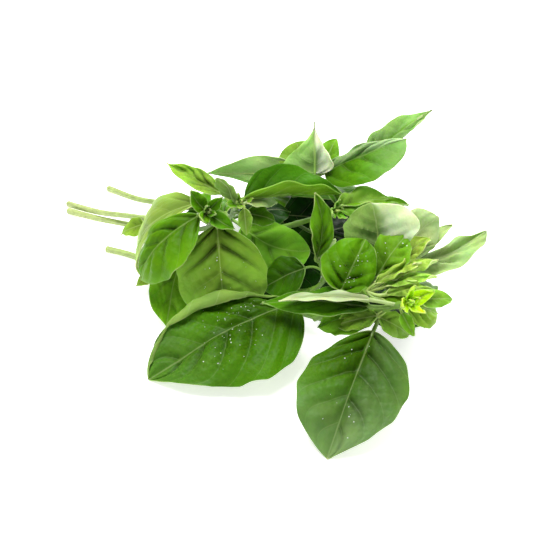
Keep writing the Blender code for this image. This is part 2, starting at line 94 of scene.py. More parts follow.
# Outline of a basil leaf: a round base, widest before the middle, a pointed end
BASE_POWER = 0.62
TIP_POWER = 0.95

# What a leaf measures, in millimetres
BLADE_THICK = 0.5
BASE_HALF = 0.6
LEAST_TIP_HALF = 0.3
STALK_RADIUS = 1.1
STALK_ROOT_RADIUS = 0.85
MIDRIB_END_RADIUS = 0.12
FACE_STEP = 0.8

# Where a stalk bends towards its blade, as a share of its reach, and from what length of blade, in
# millimetres, it is middling and thick
STALK_BEND = 0.45
MIDDLING_LEAF = 27
LARGE_LEAF = 44

# What a stem measures, in millimetres, and how much it swells where a leaf leaves it
STEM_RADIUS = 1.75
STEM_TIP_RADIUS = 1.2
STEM_STEP = 3.0
STEM_SWELL = 0.35
SECTION_POINTS = 24

# Crown of young leaves at a stem's end: length, opening angle from the stem and turn round it, pair by pair
CROWN_PAIRS = ((26.0, 58.0, 0.0), (19.0, 40.0, 90.0), (12.0, 22.0, 0.0), (7.0, 10.0, 90.0))
LEAST_CROWN_LEAF = 3.0
CROWN_GAP = 0.4

# Where a margin that rolls up starts to roll, as a share of the half width, and from what half width, in
# millimetres, it rolls up fully
ROLL_START = 0.7
ROLL_HALF = 20.0

# How many waves a margin has, and how deep its notches are, as a share of the half width
MARGIN_WAVES = 2.5
SCALLOP = 0.025

# How far the side veins climb on their way to the margin, as a share of the blade's length, and how far they
# stray
SIDE_VEIN_RISE = 0.34
VEIN_STRAY = 0.14

# How high a 60 mm blade stands between its veins, and how deep its creases, midrib, dents and puckers lie,
# in millimetres
QUILT_DEEP = 1.2
CREASE_DEEP = 1.9
CREASE_WIDTH = 0.14
GROOVE_DEEP = 0.5
DENT_DEEP = 0.55
PUCKER_DEEP = 0.3
PUCKER_SIZE = 6.5
RIPPLE_DEEP = 0.7

# How far above the surface the leaves are laid, in millimetres
GROUND_GAP = 0.05

# How far above the surface the blades stay, and how far inside the solids' box everything does, in metres
LEAST_HEIGHT = 0.02 * MM
BOX_MARGIN = 1e-6

# What turns a leaf's green into its stalk's
STALK_PALER = (1.05, 1.0, 0.8, 1.0)

# The pale wash of painted sheen, mixed into a leaf's green where light would glance off its wax
PAINTED_SHEEN_COLOUR = "#eef8de"


class Tone(Enum):
    """How green a leaf is: its upper face and its underside, as sRGB hex values. The greens are partly the
    leaf's own and partly painted light and shade: SHADE is painted shade, and LIT, BRIGHT, SUNNY and PALE are
    lightened with painted light.
    """

    # Near-black green, painted shade, for leaves set deep in the bunch
    SHADE = ("#133602", "#243f0a")
    DEEP = ("#3e6e05", "#6c9040")
    MATURE = ("#50860a", "#7c9c4c")
    GLOSSY = ("#3a6e06", "#6c9c1e")
    FRESH = ("#64981a", "#8cac5c")
    LIT = ("#7aa234", "#9cb864")
    BRIGHT = ("#8cb244", "#a8c074")
    SUNNY = ("#9ccc4c", "#b4cc78")
    PALE = ("#8ca868", "#a8be88")
    VIVID = ("#78c030", "#98c468")
    YOUNG = ("#68a01c", "#8cac4c")
    BUD = ("#a0d008", "#a8cc40")


def linear(code: str) -> tuple[float, float, float, float]:
    """Turns an sRGB hex value into linear red, green, blue and alpha."""
    parts = [int(code[i : i + 2], 16) / 255 for i in (1, 3, 5)]
    return (*[p / 12.92 if p <= 0.04045 else ((p + 0.055) / 1.055) ** 2.4 for p in parts], 1.0)


def unit(vector: Array) -> Array:
    """Brings vectors to length 1."""
    vector = np.asarray(vector, float)
    return vector / np.linalg.norm(vector, axis=-1, keepdims=True)


def cos_sin(degrees: float) -> Pair:
    """The cosine and the sine of an angle."""
    return math.cos(math.radians(degrees)), math.sin(math.radians(degrees))


def turned(vector: Array, axis: Array, degrees: float) -> Array:
    """Turns a vector round a unit axis, by the right-hand rule."""
    cos, sin = cos_sin(degrees)
    return vector * cos + np.cross(axis, vector) * sin + axis * np.dot(axis, vector) * (1 - cos)


def spline(points: list[Point], shares: Array) -> Array:
    """Finds places on a smooth curve through the given points.

    Args:
        points: what the curve passes through.
        shares: shares of the way along, from 0 to 1.

    Returns:
        One place a row.
    """
    points = np.asarray(points, float)
    ends = np.vstack([2 * points[0] - points[1], points, 2 * points[-1] - points[-2]])
    spans = len(points) - 1
    found = []
    for share in shares:
        place = min(max(share, 0.0), 1.0) * spans
        i = min(int(place), spans - 1)
        t = place - i
        a, b, c, d = ends[i : i + 4]
        bent = (2 * a - 5 * b + 4 * c - d) * t**2 + (3 * b - a - 3 * c + d) * t**3
        found.append(0.5 * (2 * b + (c - a) * t + bent))
    return np.array(found)


def bend(slope: float, turn: Array, length: Array) -> tuple[Array, Array]:
    """Finds where an arc ends."""
    chord = length * np.sinc(turn / FULL_TURN)
    return chord * np.cos(slope + turn / 2), chord * np.sin(slope + turn / 2)


def smooth_step(values: Array, low: float, high: float) -> Array:
    """Rises from 0 to 1, level at both ends."""
    t = np.clip((values - low) / (high - low), 0, 1)
    return t * t * (3 - 2 * t)


def seeded(name: str) -> np.random.Generator:
    """Makes a random source that is the same on every run."""
    return np.random.default_rng(zlib.crc32(name.encode()))


def places_of(mesh: Mesh) -> Array:
    """Reads where a mesh's vertices are, one a row, in metres."""
    return np.array([vertex.co for vertex in mesh.vertices], float)


def keep_between(mesh: Mesh, low: Point, high: Point) -> None:
    """Moves what stands outside a box back onto it."""
    mesh.vertices.foreach_set("co", np.clip(places_of(mesh), low, high).ravel())


def select_only(*things: Thing) -> None:
    """Selects objects alone and makes the first one active.

    Args:
        things: the objects.
    """
    bpy.ops.object.select_all(action="DESELECT")
    for thing in things:
        thing.select_set(True)
    bpy.context.view_layer.objects.active = things[0]


def dress(thing: Thing, *finishes: Material) -> None:
    """Gives an object these materials and no others.

    Args:
        thing: the object.
        finishes: its materials.
    """
    thing.data.materials.clear()
    for finish in finishes:
        thing.data.materials.append(finish)


def join(name: str, parts: list[Thing]) -> Thing:
    """Joins mesh objects into the first one.

    Args:
        name: what the joined object is called.
        parts: the objects, which are used up.

    Returns:
        The joined object.
    """
    select_only(*parts)
    bpy.ops.object.join()
    parts[0].name = parts[0].data.name = name
    return parts[0]


def write_attribute(mesh: Mesh, name: str, values: Array) -> None:
    """Writes a vector or a colour on each vertex.

    Args:
        mesh: the mesh that gets the attribute.
        name: the attribute's name.
        values: one row a vertex, of three numbers for a vector and four for a colour.
    """
    kind, slot = ("FLOAT_VECTOR", "vector") if values.shape[1] == 3 else ("FLOAT_COLOR", "color")
    made = mesh.attributes.new(name, kind, "POINT")
    made.data.foreach_set(slot, np.ravel(values))


def swept(name: str, runs: list[Run], profile: Thing | None = None) -> Thing:
    """Sweeps a round or given section along some paths and makes it a mesh.

    Args:
        name: what the object is called.
        runs: for each path its points in millimetres, and how large the section is at each.
        profile: the section's curve, or None for a round one of 1 mm radius.

    Returns:
        The mesh object.
    """
    bpy.ops.curve.primitive_bezier_curve_add()
    made = bpy.context.object
    curve = made.data
    curve.splines.clear()
    curve.dimensions = "3D"
    curve.use_fill_caps = True
    if profile is None:
        curve.bevel_depth = MM
        curve.bevel_resolution = 2
    else:
        curve.bevel_mode = "OBJECT"
        curve.bevel_object = profile
    for path, sizes in runs:
        run = curve.splines.new("POLY")
        run.points.add(len(path) - 1)
        places = (np.asarray(path) + SHIFT) * MM
        run.points.foreach_set("co", np.column_stack([places, np.ones(len(path))]).ravel())
        run.points.foreach_set("radius", np.asarray(sizes, float))
        run.use_smooth = True
    select_only(made)
    bpy.ops.object.convert(target="MESH")
    made = bpy.context.object
    bpy.ops.object.mode_set(mode="EDIT")
    bpy.ops.mesh.select_all(action="SELECT")
    bpy.ops.mesh.remove_doubles(threshold=1e-6)
    bpy.ops.mesh.normals_make_consistent(inside=False)
    bpy.ops.object.mode_set(mode="OBJECT")
    bpy.ops.object.shade_smooth_by_angle(angle=math.radians(50))
    made.name = name
    return made


@dataclass
class Leaf:
    """One leaf, from its stalk's root on a stem to its tip, in millimetres.

    Pairs are for the leaf's left and right half, seen from its stalk with its upper face up. The painted
    sheen, a pale wash mixed into the green that stands in for light glancing off the wax, is given for the
    halves and then for the tip. A place on the blade is u, its share of the way from base to tip, and v, its
    share of the way from midrib to margin, below 0 on the left half.
    """

    name: str
    tone: Tone
    at: float
    base: Point
    tip: Point
    face: Point = (0, 0, 1)
    width: Pair = (0.6, 0.6)
    arch: float = 0.1
    sweep: float = 0.0
    fold: Pair = (12, 12)
    curl: Pair = (-25, -25)
    roll: Pair = (0, 0)
    twist: float = 0.0
    wave: float = 0.8
    shape: tuple[float, float, float, float] = (BASE_POWER, TIP_POWER, BASE_POWER, TIP_POWER)
    on: int = 0
    stalked: bool = True
    quilt: float = 1.0
    painted_sheen: Point = (0, 0, 0)

    @property
    def length(self) -> float:
        """The blade's length from base to tip."""
        return float(np.linalg.norm(np.subtract(self.tip, self.base)))

    @property
    def vein_pairs(self) -> int:
        """How many pairs of side veins the blade has."""
        return int(np.clip(round(self.length / 14), 4, 6))

    @property
    def stalk_size(self) -> float:
        """How thick the stalk is beside a large leaf's."""
        return 1.0 if self.length > LARGE_LEAF else 0.9 if self.length > MIDDLING_LEAF else 0.65

    def midrib(self, u: Array) -> tuple[Array, Array, Array, Array]:
        """Follows the midrib.

        Args:
            u: places along the blade.

        Returns:
            Places, directions, sideways vectors and upward vectors, one a row.
        """
        base, tip = np.array(self.base, float), np.array(self.tip, float)
        chord = tip - base
        side = unit(np.cross(chord, self.face))
        up = unit(np.cross(side, chord))
        control = base + chord * 0.5 + (up * self.arch + side * self.sweep) * 2 * self.length
        u = np.asarray(u, float)[:, None]
        place = base * (1 - u) ** 2 + control * 2 * u * (1 - u) + tip * u**2
        ahead = unit((control - base) * (1 - u) + (tip - control) * u)
        across = unit(np.cross(ahead, up))
        lean = np.radians(self.twist * (u - 0.5))
        above = np.cross(across, ahead)
        cos, sin = np.cos(lean), np.sin(lean)
        return place, ahead, across * cos + above * sin, above * cos - across * sin

    def half_width(self, u: Array, hand: int) -> Array:
        """Finds how far it is from the midrib to one margin.

        Args:
            u: places along the blade.
            hand: 0 for the left half, 1 for the right one.

        Returns:
            One length a share, in millimetres.
        """
        base_power, tip_power = self.shape[2 * hand : 2 * hand + 2]
        widest = base_power / (base_power + tip_power)
        full = (u / widest) ** base_power * ((1 - u) / (1 - widest)) ** tip_power
        least = np.where(u < 0.5, BASE_HALF, LEAST_TIP_HALF)
        return np.maximum(full * self.width[hand] * self.length / 2, least)

    def half_at(self, u: Array, v: Array) -> Array:
        """The half width on each point's own side, in millimetres."""
        return np.where(v < 0, self.half_width(u, 0), self.half_width(u, 1))

    def vein_phase(self, u: Array, v: Array) -> Array:
        """Counts side veins.

        Args:
            u: places along the blade.
            v: places across it.

        Returns:
            One count a point: a whole number on each vein, rising towards the tip.
        """
        chance = seeded(self.name + " veins")
        side = np.where(v < 0, chance.uniform(0, 0.5), chance.uniform(0, 0.5))
        stray = VEIN_STRAY * np.sin(7.0 * u + 5.0 * v + chance.uniform(0, WAVE_TURN)) * np.abs(v)
        rise = SIDE_VEIN_RISE * np.abs(v) * (0.6 + 0.4 * np.abs(v))
        return (u - rise) * self.vein_pairs + side + stray

    def by_field(self, purpose: str, least: float, most: float, fields: Array, v: Array) -> Array:
        """Draws one number for each field between two side veins, on each half."""
        drawn = seeded(f"{self.name} {purpose}").uniform(least, most, (2, FIELDS))
        return drawn[(v >= 0).astype(int), np.clip(fields.astype(int) + FIELDS // 3, 0, FIELDS - 1)]

    def skin(self, u: Array, v: Array) -> Array:
        """Finds points of the blade's middle surface, before it is quilted.

        Args:
            u: places along the blade.
            v: places across it.

        Returns:
            One point a row, in millimetres.
        """
        place, _, across, above = self.midrib(u)
        aside, up = np.empty(len(u)), np.empty(len(u))
        for hand, mine in enumerate((v < 0, v >= 0)):
            along, share = u[mine], np.abs(v[mine])
            widest = self.width[hand] * self.length / 2
            half = self.half_width(along, hand)
            tooth = np.abs(np.cos(math.pi * self.vein_phase(along, v[mine])))
            tooth = tooth + 0.5 * np.sin(29 * along + hand)
            flat = np.minimum(share, ROLL_START if self.roll[hand] else 1.0)
            reach = half * (1 - SCALLOP * share**6 * tooth)
            slope = math.radians(self.fold[hand])
            turn = math.radians(self.curl[hand]) * flat * reach / widest
            out, rise = bend(slope, turn, flat * reach)
            rolled = np.minimum(half / ROLL_HALF, 1) * (share - flat) / (1 - ROLL_START)
            roll = math.radians(self.roll[hand]) * rolled
            more_out, more_rise = bend(slope + turn, roll, (share - flat) * reach)
            ripple = np.sin(FULL_TURN * MARGIN_WAVES * along + 2.2 * hand) * np.minimum(half / widest, 1)
            up[mine] = rise + more_rise + self.wave * ripple * share**2.5
            aside[mine] = np.sign(v[mine]) * (out + more_out)
        return place + across * aside[:, None] + above * up[:, None]

    def normal(self, u: Array, v: Array) -> Array:
        """Finds the way out of the upper face.

        Args:
            u: places along the blade.
            v: places across it.

        Returns:
            One unit vector a row.
        """
        step = 0.01
        low_u, high_u = np.clip(u - step, 0, 1), np.clip(u + step, 0, 1)
        low_v, high_v = np.clip(v - step, -1, 1), np.clip(v + step, -1, 1)
        along = self.skin(high_u, v) - self.skin(low_u, v)
        sideways = self.skin(u, high_v) - self.skin(u, low_v)
        return unit(np.cross(sideways, along))

    def creases(self, u: Array, v: Array) -> Array:
        """Tells how deep a side vein's crease is at each point, from 0 to about 1.

        Creases are sharp by the midrib and near the base, and run out before the margin. No two are alike.

        Args:
            u: places along the blade.
            v: places across it.

        Returns:
            One depth a point.
        """
        phase = self.vein_phase(u, v)
        nearest = np.round(phase)
        depth = self.by_field("creases", 0.25, 1.25, nearest, v)
        away = np.abs(phase - nearest) / CREASE_WIDTH
        beside = smooth_step(np.abs(v) * self.half_at(u, v), 0.0, 1.5)
        return depth * np.exp(-(away**2)) * beside * (1 - np.abs(v)) ** 0.8 * (1.15 - 0.75 * u)

    def quilting(self, u: Array, v: Array) -> Array:
        """Raises the blade between its veins, sinks it along them, and dents it at random.

        Args:
            u: places along the blade.
            v: places across it.

        Returns:
            How far each point stands above the middle surface, in millimetres.
        """
        half = self.half_at(u, v)
        from_midrib = np.abs(v) * half
        size = max(self.length, 14.0) / 60
        phase = self.vein_phase(u, v)
        height = self.by_field("pillows", 0.1, 1.1, np.floor(phase), v)
        pillow = (0.5 - 0.5 * np.cos(FULL_TURN * phase)) * height
        spread = np.sin(math.pi * np.clip(u, 0, 1))
        inside = smooth_step(from_midrib, 0.4, 4.0) * (1 - np.abs(v) ** 3) * spread**0.5
        groove = np.exp(-((from_midrib / (1.4 * max(size, 0.4))) ** 2)) * (1 - u)
        chance = seeded(self.name)
        along, aside = u * self.length / PUCKER_SIZE, v * np.max(half) / PUCKER_SIZE
        turn, start, other = chance.uniform(0.2, 0.7), *chance.uniform(0, WAVE_TURN, 2)
        pucker = np.sin(WAVE_TURN * (along + turn * aside) + start)
        pucker = pucker * np.sin(WAVE_TURN * (aside - turn * along) + other)
        dents = np.zeros(len(u))
        for _ in range(3):
            rows, lines, begin = chance.uniform(0.5, 1.9), chance.uniform(0.3, 1.1), chance.uniform(0, 1)
            dents += np.sin(FULL_TURN * (rows * u + lines * v + begin))
        ripple = np.sin(9.0 * u + start) + 0.7 * np.sin(17.0 * u + other + 2.0 * np.sign(v))
        margin = RIPPLE_DEEP * ripple * np.abs(v) ** 4
        lift = margin + QUILT_DEEP * pillow * inside - CREASE_DEEP * self.creases(u, v) - GROOVE_DEEP * groove
        return self.quilt * size * (lift + (DENT_DEEP * dents + PUCKER_DEEP * pucker * inside) * spread)

    def blade(self, finishes: "BasilFinishes") -> Thing:
        """Makes the blade: a grid bent to the leaf's form and given its thickness.

        Args:
            finishes: the materials that dress it.

        Returns:
            The blade's mesh object.
        """
        widest = max(self.width) * self.length / 2
        rows = int(np.clip(round(self.length / FACE_STEP), 14, 90))
        columns = 2 * int(np.clip(round(widest / FACE_STEP), 5, 32))
        bpy.ops.mesh.primitive_grid_add(x_subdivisions=columns, y_subdivisions=rows, size=2.0)
        made = bpy.context.object
        mesh = made.data
        flat = places_of(mesh)
        v, t = np.clip(flat[:, 0], -1, 1), np.clip((flat[:, 1] + 1) / 2, 0, 1)
        v = np.where(np.abs(v) < 1e-4, 0.0, v)
        u = np.clip(t - 0.07 * np.sin(FULL_TURN * t), 0, 1)
        raised = self.quilting(u, v) + BLADE_THICK / 2
        points = self.skin(u, v) + self.normal(u, v) * raised[:, None]
        points[:, 2] = np.maximum(points[:, 2], BLADE_THICK + GROUND_GAP)
        mesh.vertices.foreach_set("co", ((points + SHIFT) * MM).ravel())
        self.dye(mesh, u, v)
        dress(made, finishes.upper_face, finishes.underside)

        select_only(made)
        thickness = made.modifiers.new("leaf thickness", "SOLIDIFY")
        thickness.thickness = BLADE_THICK * MM
        thickness.offset = -1.0
        thickness.material_offset = 1
        thickness.material_offset_rim = 1
        bpy.ops.object.modifier_apply(modifier=thickness.name)
        bpy.ops.object.shade_smooth_by_angle(angle=math.radians(60))
        keep_between(made.data, (-np.inf, -np.inf, LEAST_HEIGHT), (np.inf, np.inf, np.inf))
        made.name = self.name
        return made

    def dye(self, mesh: Mesh, u: Array, v: Array) -> None:
        """Writes what the blade's finishes read: its veins, its relief and the greens of both faces, with
        painted sheen mixed into them.

        Args:
            mesh: the blade's mesh.
            u: places along the blade, one a vertex.
            v: places across it.
        """
        half = self.half_at(u, v)
        lines = (self.vein_phase(u, v), np.abs(v) * half, (1 - np.abs(v)) * half)
        write_attribute(mesh, "leaf_lines", np.column_stack(lines))
        write_attribute(mesh, "leaf_relief", np.column_stack([self.creases(u, v), u, np.abs(v)]))
        shift = 1 + seeded(self.name + " dye").uniform(-0.1, 0.1, 4) * (1, 0.6, 1, 0)
        # Painted sheen: a pale wash mixed into the green, out from the midrib on each half and towards the
        # tip, standing in for light glancing off the wax
        painted_sheen = np.where(v < 0, self.painted_sheen[0], self.painted_sheen[1]) * smooth_step(np.abs(v), 0.0, 0.3)
        painted_sheen = painted_sheen + self.painted_sheen[2] * smooth_step(u, 0.35, 1.0)
        pale = np.array(linear(PAINTED_SHEEN_COLOUR))
        for attribute, code in zip(("upper_green_and_sheen", "under_green_and_sheen"), self.tone.value):
            green = np.array(linear(code)) * shift
            write_attribute(mesh, attribute, green + painted_sheen[:, None] * (pale - green))

    def stalk_run(self, root: Array) -> Run:
        """Runs the stalk from inside the stem and on below the blade as its midrib.

        Args:
            root: the stalk's root on the stem's middle line.

        Returns:
            The stalk's points and its radius at each.
        """
        place, ahead, _, _ = (x[0] for x in self.midrib(np.array([0.0])))
        if self.stalked:
            reach = np.linalg.norm(place - root)
            bend_point = place - ahead * reach * STALK_BEND
            t = np.linspace(0, 1, 9)[:, None]
            free = root * (1 - t) ** 2 + bend_point * 2 * t * (1 - t) + place * t**2
        else:
            t = np.zeros((1, 1))
            free = place[None, :]
        thin, thick = STALK_ROOT_RADIUS * self.stalk_size, STALK_RADIUS * self.stalk_size
        u = np.linspace(0.03, 0.88, 16)
        middle = np.zeros(len(u))
        thinning = MIDRIB_END_RADIUS + (0.8 * thick - MIDRIB_END_RADIUS) * (1 - u) ** 2.2
        sunk = thinning * 0.75 - self.quilting(u, middle)
        ribs = self.skin(u, middle) - self.normal(u, middle) * sunk[:, None]
        points = np.vstack([free, ribs])
        radii = np.concatenate([thin + (thick - thin) * t[:, 0], thinning])
        points[:, 2] = np.maximum(points[:, 2], radii + GROUND_GAP)
        return points, radii

    def stalk(self, root: Array, finish: Material) -> Thing:
        """Makes the stalk and the midrib.

        Args:
            root: the stalk's root on the stem's middle line.
            finish: the material that dresses it.

        Returns:
            The stalk's mesh object.
        """
        made = swept(f"{self.name}_stalk", [self.stalk_run(root)])
        green = STALK_PALER * np.array(linear(self.tone.value[1]))
        write_attribute(made.data, "stalk_dye", np.tile(green, (len(made.data.vertices), 1)))
        dress(made, finish)
        return made


@dataclass
class LeafyStem:
    """One leafy stem of the bunch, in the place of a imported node.

    Stems are lists of points that the stem and its side stems pass through, in millimetres. A crown is a
    stem's number, its size and its first turn, in degrees.
    """

    name: str
    node: str
    stems: list[list[Point]]
    leaves: list[Leaf]
    crowns: list[tuple[int, float, float]] = field(default_factory=list)
    crown_tone: Tone = Tone.YOUNG

    def crown_leaves(self, stem: int, size: float, first_turn: float) -> list[Leaf]:
        """Sets pairs of young leaves round a stem's end, each pair at right angles to the last.

        Args:
            stem: the stem's number.
            size: the crown's size beside a full one.
            first_turn: how far the first pair is turned round the stem, in degrees.

        Returns:
            The young leaves.
        """
        end, before = spline(self.stems[stem], np.array([1.0, 0.97]))
        ahead = unit(end - before)
        side = unit(np.cross(ahead, (0.2, 0.1, 1.0)))
        young = []
        for pair, (length, opening, turn) in enumerate(CROWN_PAIRS):
            if length * size < LEAST_CROWN_LEAF:
                break
            cos, sin = cos_sin(opening)
            for hand in (0, 180):
                out = turned(side, ahead, turn + hand + first_turn)
                heading = ahead * cos + out * sin
                base = end + heading * CROWN_GAP
                tip, face = base + heading * length * size, ahead * sin - out * cos
                leaf = Leaf(
                    f"{self.node}_crown_{stem}_{pair}_{hand}", self.crown_tone, 1.0, tuple(base), tuple(tip),
                    tuple(face), (0.55, 0.55), -0.12, fold=(25, 25), curl=(-15, -15), wave=0.3, on=stem,
                    stalked=False, quilt=1.6,
                )
                young.append(leaf)
        return young

    def all_leaves(self) -> list[Leaf]:
        """Every leaf of the leafy stem, those of its crowns too."""
        return sum((self.crown_leaves(*crown) for crown in self.crowns), list(self.leaves))

    def stem_run(self, number: int) -> Run:
        """Runs one stem, swollen a little where its leaves leave it.

        Args:
            number: which of the leafy stem's stems it is.

        Returns:
            The stem's points and its radius at each.
        """
        path = self.stems[number]
        length = np.linalg.norm(np.diff(np.asarray(path, float), axis=0), axis=1).sum()
        shares = np.linspace(0, 1, max(12, round(length / STEM_STEP)))
        points = spline(path, shares)
        radii = STEM_RADIUS + (STEM_TIP_RADIUS - STEM_RADIUS) * shares
        for leaf in self.leaves:
            if leaf.on == number:
                radii = radii + STEM_SWELL * np.exp(-(((shares - leaf.at) * length / 2.5) ** 2))
        radii = np.minimum(radii, 1.2 * STEM_RADIUS)
        points[:, 2] = np.maximum(points[:, 2], radii * 0.95)
        return points, radii

    @staticmethod
    def section() -> Thing:
        """Makes a stem's section: a square with round corners and a groove in the middle of each side.

        Returns:
            The section's curve object.
        """
        bpy.ops.curve.primitive_bezier_circle_add(radius=1.0)
        made = bpy.context.object
        made.data.splines.clear()
        run = made.data.splines.new("POLY")
        run.points.add(SECTION_POINTS - 1)
        for i, point in enumerate(run.points):
            angle = FULL_TURN * i / SECTION_POINTS
            reach = (0.94 - 0.09 * math.cos(4 * angle)) * MM
            point.co = (reach * math.cos(angle), reach * math.sin(angle), 0.0, 1.0)
        run.use_cyclic_u = True
        return made

    def bare_stems(self, finishes: "BasilFinishes") -> Thing:
        """Makes the stem and its side stems, with bare pith on the cut face.

        Args:
            finishes: the materials that dress them.

        Returns:
            The stems' mesh object.
        """
        section = self.section()
        runs = [self.stem_run(number) for number in range(len(self.stems))]
        made = swept(f"{self.node}_stems", runs, section)
        bpy.data.objects.remove(section)
        dress(made, finishes.stem, finishes.cut_end)
        start, after = (np.array(p, float) for p in self.stems[0][:2])
        back = unit(start - after)
        for face in made.data.polygons:
            centre = np.array(face.center) / MM - SHIFT
            if np.linalg.norm(centre - start) < 3 and np.dot(face.normal, back) > 0.8:
                face.material_index = 1
        return made

    def build(self, finishes: "BasilFinishes") -> Thing:
        """Makes the leafy stem as one piece.

        Args:
            finishes: the materials that dress it.

        Returns:
            The piece.
        """
        leaves = self.all_leaves()
        parts = [leaf.blade(finishes) for leaf in leaves]
        for leaf in leaves:
            root = spline(self.stems[leaf.on], np.array([leaf.at]))[0]
            parts.append(leaf.stalk(root, finishes.stalk))
        piece = join(self.name, [*parts, self.bare_stems(finishes)])
        keep_between(piece.data, np.array(CAD_BOX[0]) + BOX_MARGIN, np.array(CAD_BOX[1]) - BOX_MARGIN)
        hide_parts(self.node)
        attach(piece, "root")
        log.info("%s: %d leaves, %d faces", self.name, len(leaves), len(piece.data.polygons))
        return piece


# Leaves in Tone.SHADE, most of them named shade_, are near-black leaves set deep in the bunch as painted
# shade
LEFT = LeafyStem(
    "left_leafy_stem", "sprig_left",
    [[(-121, 104, 1.5), (-100, 87, 7.5), (-78, 70, 16.5), (-56, 46, 30), (-41, 23, 50), (-34, 10, 62)]],
    [
        Leaf("left_far", Tone.BRIGHT, 0.88, (-40, 25, 57), (-70, 27, 5), (-0.8, 0, 0.6), (0.4, 0.72), 0.24,
             shape=(0.62, 0.95, 0.8, 0.9), quilt=0.6),
        Leaf("left_near", Tone.MATURE, 0.95, (-38, 10, 60), (-69, 6, 23), (-0.5, -0.5, 0.7), (0.84, 0.42),
             0.18, shape=(0.65, 0.8, 0.65, 0.8), quilt=1.6),
        Leaf("middle_near", Tone.LIT, 0.93, (-29, 8, 55), (-25, -8, 4), (0, -0.85, 0.4), (0.9, 0.85), 0.13,
             shape=(0.65, 0.75, 0.65, 0.75), quilt=1.7, painted_sheen=(0, 0, 0.04)),
        Leaf("under_left", Tone.FRESH, 0.62, (-48, 22, 28), (-56, -8, 2), (-0.2, -0.7, 0.7), (0.95, 0.72),
             0.1, quilt=1.8),
        Leaf("left_ground", Tone.LIT, 0.5, (-60, 28, 14), (-74, 21, 6), (-0.2, -0.5, 0.9), (0.6, 0.4), 0.1),
        Leaf("left_behind", Tone.MATURE, 0.84, (-38, 31, 49), (-50, 57, 33), (-0.2, 0.2, 1), (0.65, 0.65),
             0.12),
        Leaf("left_low", Tone.LIT, 0.45, (-72, 60, 18.5), (-86, 66, 7), (-0.2, -0.5, 0.8), (0.6, 0.6), 0.1,
             shape=(0.6, 1.5, 0.6, 1.5)),
    ],
    [(0, 0.65, -40)], Tone.MATURE,
)

MIDDLE = LeafyStem(
    "middle_leafy_stem", "sprig_middle",
    [[(-120, 97, 1.5), (-98, 84, 4.5), (-72, 70, 9.5), (-44, 50, 22), (-25, 27, 45), (-18, 5, 71)]],
    [
        Leaf("long_top", Tone.GLOSSY, 0.98, (-15, 6, 73), (34, 25, 62), (0, 0, 1), (0.6, 0.46), 0.03,
             fold=(45, 60), curl=(-5, 0), quilt=0.6),
        Leaf("top_left", Tone.LIT, 0.9, (-27, 21, 66), (-56, 50, 64.5), (0, -0.5, 0.9), (0.34, 0.3), 0,
             fold=(25, 40), curl=(0, 0), quilt=1.6),
        Leaf("pale_up", Tone.DEEP, 0.97, (-20, 4, 73), (-28, 3, 87), (0.3, 0.8, 0.5), (0.5, 1), 0.1, quilt=2),
        Leaf("small_right", Tone.PALE, 0.99, (-14, 4, 72), (1, 15, 64), (0, -0.3, 1), (0.5, 0.5)),
        Leaf("small_down", Tone.LIT, 0.97, (-15, 2, 70), (-14, -1, 56), (0, -1, 0.2), (0.5, 0.5)),
        Leaf("inner_right", Tone.VIVID, 0.7, (-17, 20, 46), (18, 18, 32), (-0.1, -0.7, 0.7), (0.66, 0.85),
             0.08, 0.12, shape=(0.62, 0.62, 0.62, 0.8), quilt=1.4),
        Leaf("middle_behind", Tone.MATURE, 0.8, (-26, 32, 46), (-46, 57, 24), (-0.2, 0.3, 1), (0.62, 0.62),
             0.12),
        Leaf("middle_low", Tone.MATURE, 0.55, (-36, 52, 24), (-28, 80, 6), (0, 0.3, 1), (0.65, 0.36), 0.12,
             quilt=0.4),
        Leaf("shade_middle", Tone.SHADE, 0.72, (-18, 34, 43), (8, 52, 32), (0, -0.3, 1), (0.6, 0.7), 0.1),
        Leaf("small_low", Tone.DEEP, 0.9, (-14, 6, 64), (0, 9, 57), (0, -0.5, 0.8), (0.7, 0.7), 0.1),
    ],
    [(0, 0.3, 20)],
)

